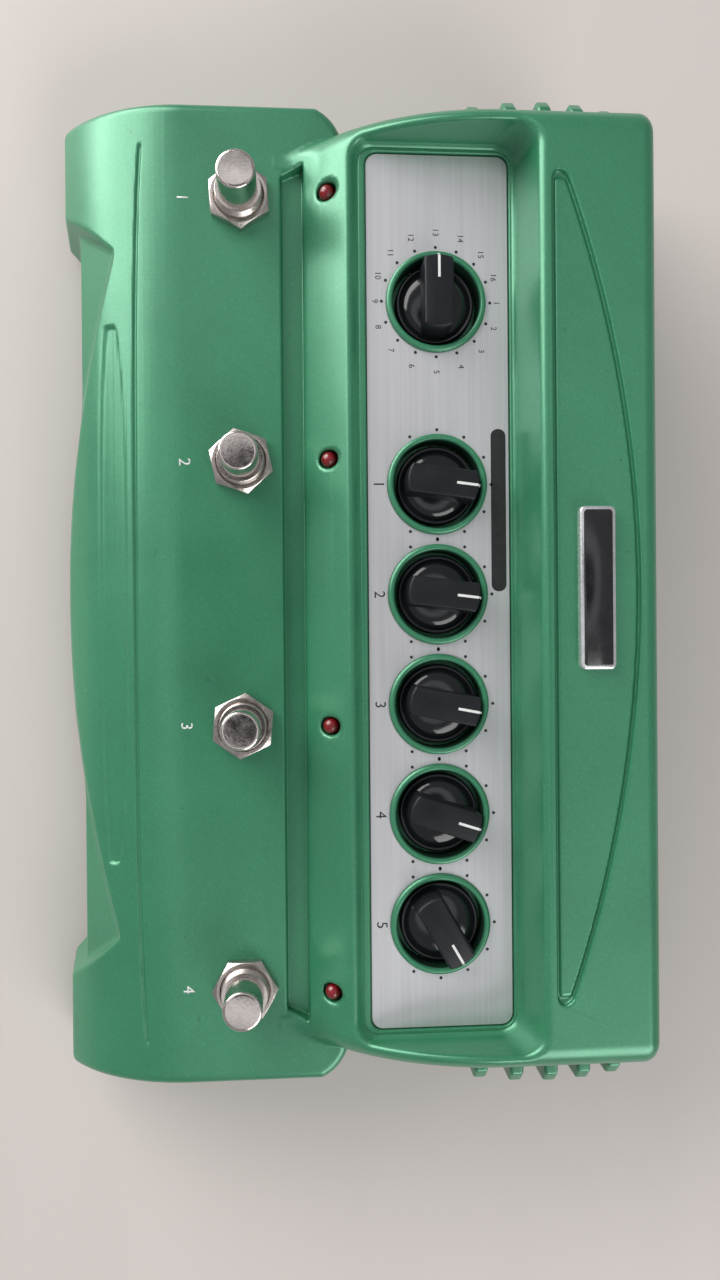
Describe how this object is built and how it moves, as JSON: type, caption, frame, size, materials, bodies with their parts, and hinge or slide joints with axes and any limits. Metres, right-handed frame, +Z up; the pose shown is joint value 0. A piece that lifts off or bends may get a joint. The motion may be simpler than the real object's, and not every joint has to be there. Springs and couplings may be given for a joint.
{
  "type": "delay modeler pedal",
  "caption": "Wide floor effects pedal: stepped cast casing with footswitches and lamps in front, a selector and dials in a sunken metal panel, side fins and rear sockets.",
  "frame": {"origin": "on the floor under the middle of the whole pedal, sockets included", "axes": "+X to the player's right along the row of footswitches, +Y towards the rear sockets, +Z up"},
  "size_m": [0.266, 0.162, 0.0628],
  "materials": {
    "paint": "satin metallic green paint on a cast casing",
    "zinc": "dull plated sheet",
    "screw": "dark plated",
    "rubber": "matte",
    "plate": "brushed along its length",
    "badge": "bare, gloss",
    "knob": "satin to gloss black",
    "shaft": "turned",
    "can": "matte",
    "board": "coated",
    "lamp": "tinted, gloss",
    "switch_case": "plated",
    "nickel": "polished nickel, worn",
    "spring": "bright",
    "black_plastic": "matte",
    "cable": "matte",
    "connector": "matte",
    "brass": "turned"
  },
  "bodies": {
    "chassis": {"casing": "paint", "base_plate": "zinc", "base_screws": "screw", "rubber_feet": "rubber", "control_plate": "plate", "badge_plate": "badge", "selector_encoder": "can", "dial_pots": "can", "control_board": "board", "control_board_screws": "screw", "indicator_lamps": "lamp", "footswitch_housings": "switch_case", "footswitch_bases": "black_plastic", "footswitch_nuts": "nickel", "switch_board": "board", "switch_ribbon": "cable", "main_board": "board", "main_board_chips": "black_plastic", "main_board_capacitors": "can", "board_standoffs": "brass", "board_screws": "screw", "board_connectors": "connector", "ribbon_cable": "cable", "jack_sockets": "black_plastic", "jack_nuts": "nickel", "jack_washers": "nickel", "power_inlet": "black_plastic", "footswitch_spring_1": "spring", "footswitch_spring_2": "spring", "footswitch_spring_3": "spring", "footswitch_spring_4": "spring"},
    "selector": {"selector_knob": "knob", "selector_shaft": "shaft"},
    "dial_1": {"dial_knob_1": "knob", "dial_shaft_1": "shaft"},
    "dial_2": {"dial_knob_2": "knob", "dial_shaft_2": "shaft"},
    "dial_3": {"dial_knob_3": "knob", "dial_shaft_3": "shaft"},
    "dial_4": {"dial_knob_4": "knob", "dial_shaft_4": "shaft"},
    "dial_5": {"dial_knob_5": "knob", "dial_shaft_5": "shaft"},
    "footswitch_1": {"footswitch_button_1": "nickel"},
    "footswitch_2": {"footswitch_button_2": "nickel"},
    "footswitch_3": {"footswitch_button_3": "nickel"},
    "footswitch_4": {"footswitch_button_4": "nickel"}
  },
  "joints": [
    {"name": "selector_turn", "type": "hinge", "parent": "chassis", "child": "selector", "pos_m": [-0.0763, 0.02355, 0.046], "axis": [0, 0, 1], "continuous": true},
    {"name": "dial_1_turn", "type": "hinge", "parent": "chassis", "child": "dial_1", "pos_m": [-0.0283, 0.02355, 0.046], "axis": [0, 0, 1], "range_deg": [-133, 147]},
    {"name": "dial_2_turn", "type": "hinge", "parent": "chassis", "child": "dial_2", "pos_m": [0.0007, 0.02355, 0.046], "axis": [0, 0, 1], "range_deg": [-133, 147]},
    {"name": "dial_3_turn", "type": "hinge", "parent": "chassis", "child": "dial_3", "pos_m": [0.0297, 0.02355, 0.046], "axis": [0, 0, 1], "range_deg": [-129, 151]},
    {"name": "dial_4_turn", "type": "hinge", "parent": "chassis", "child": "dial_4", "pos_m": [0.0587, 0.02355, 0.046], "axis": [0, 0, 1], "range_deg": [-122, 158]},
    {"name": "dial_5_turn", "type": "hinge", "parent": "chassis", "child": "dial_5", "pos_m": [0.0877, 0.02355, 0.046], "axis": [0, 0, 1], "range_deg": [-80, 200]},
    {"name": "footswitch_1_press", "type": "slide", "parent": "chassis", "child": "footswitch_1", "axis": [0, 0, -1], "range_m": [0, 0.003], "stiffness_N_per_m": 1500, "springref_m": -0.002, "deforming": ["footswitch_spring_1"]},
    {"name": "footswitch_2_press", "type": "slide", "parent": "chassis", "child": "footswitch_2", "axis": [0, 0, -1], "range_m": [0, 0.003], "stiffness_N_per_m": 1500, "springref_m": -0.002, "deforming": ["footswitch_spring_2"]},
    {"name": "footswitch_3_press", "type": "slide", "parent": "chassis", "child": "footswitch_3", "axis": [0, 0, -1], "range_m": [0, 0.003], "stiffness_N_per_m": 1500, "springref_m": -0.002, "deforming": ["footswitch_spring_3"]},
    {"name": "footswitch_4_press", "type": "slide", "parent": "chassis", "child": "footswitch_4", "axis": [0, 0, -1], "range_m": [0, 0.003], "stiffness_N_per_m": 1500, "springref_m": -0.002, "deforming": ["footswitch_spring_4"]}
  ]
}
